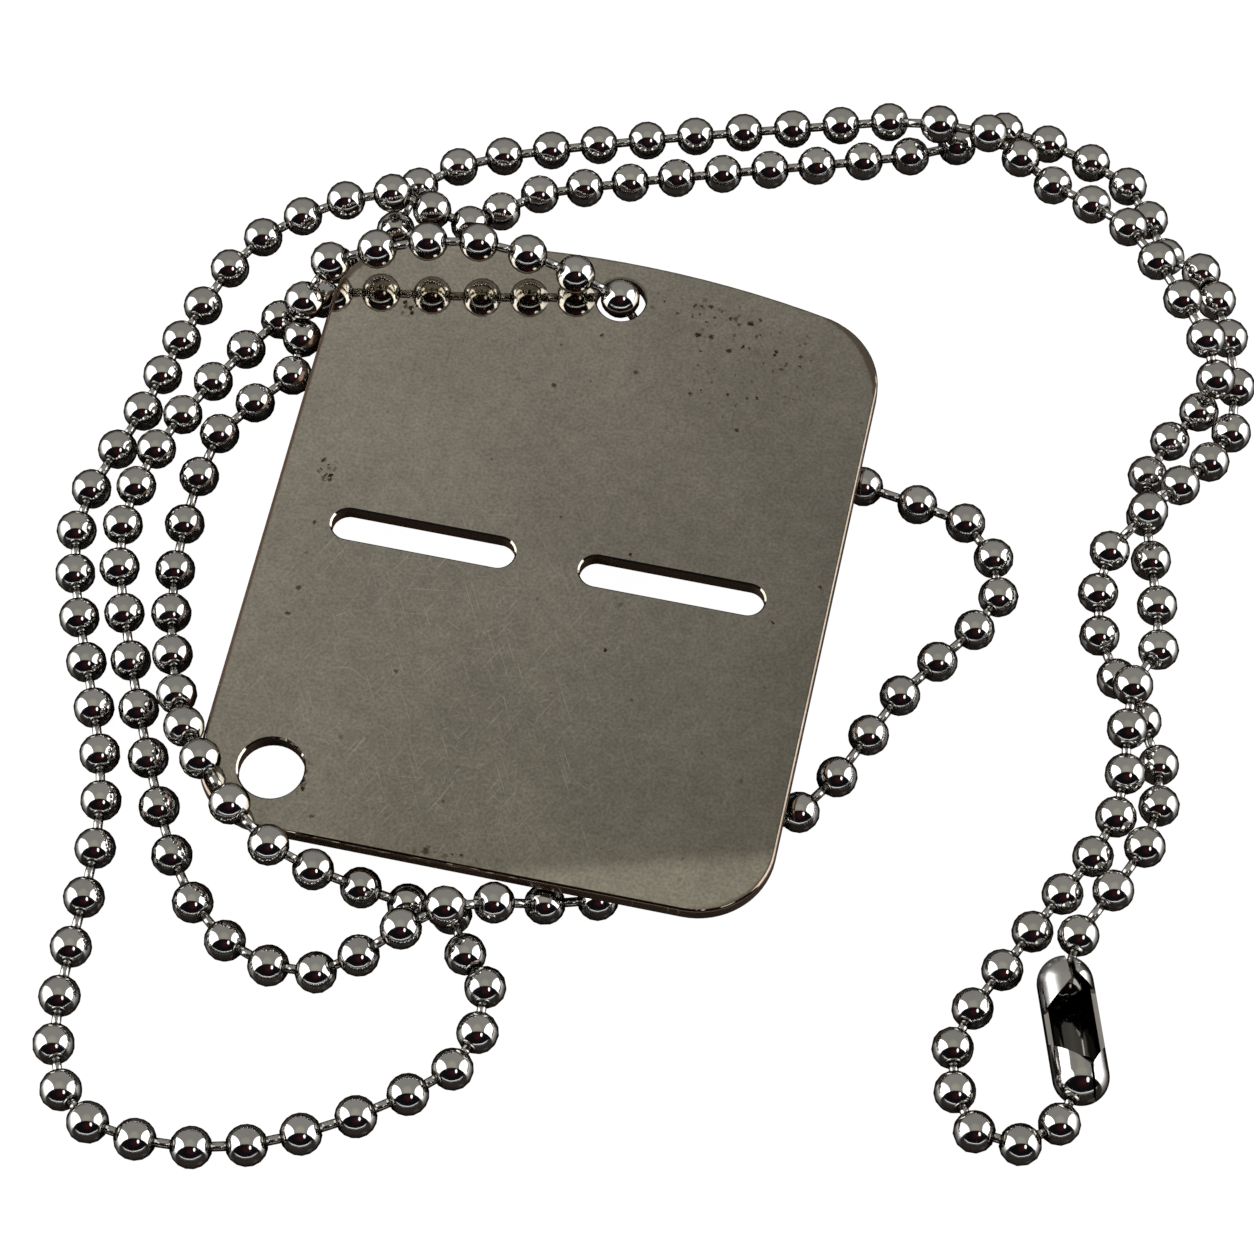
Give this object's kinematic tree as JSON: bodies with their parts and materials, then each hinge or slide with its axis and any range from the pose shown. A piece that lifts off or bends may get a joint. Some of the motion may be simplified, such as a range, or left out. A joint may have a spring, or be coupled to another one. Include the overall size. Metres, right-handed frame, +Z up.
{
  "type": "identification dog tag",
  "caption": "Flat steel identification tag with rounded corners, two long slots and two holes, lying on its looped ball chain with a bent sheet clasp.",
  "frame": {"origin": "on the table, under the middle of the whole thing as it lies", "axes": "+Z up from the table, -Y towards the viewer of the picture, +X to the picture's right"},
  "size_m": [0.0716, 0.0697, 0.0079],
  "materials": {
    "tag_steel": "worn bright steel with fine scratches and small dark stains",
    "chain_metal": "polished",
    "clasp_metal": "polished"
  },
  "bodies": {
    "root": {"tag_plate": "tag_steel", "chain_inner": "chain_metal", "chain_outer": "chain_metal", "clasp": "clasp_metal"}
  },
  "joints": []
}
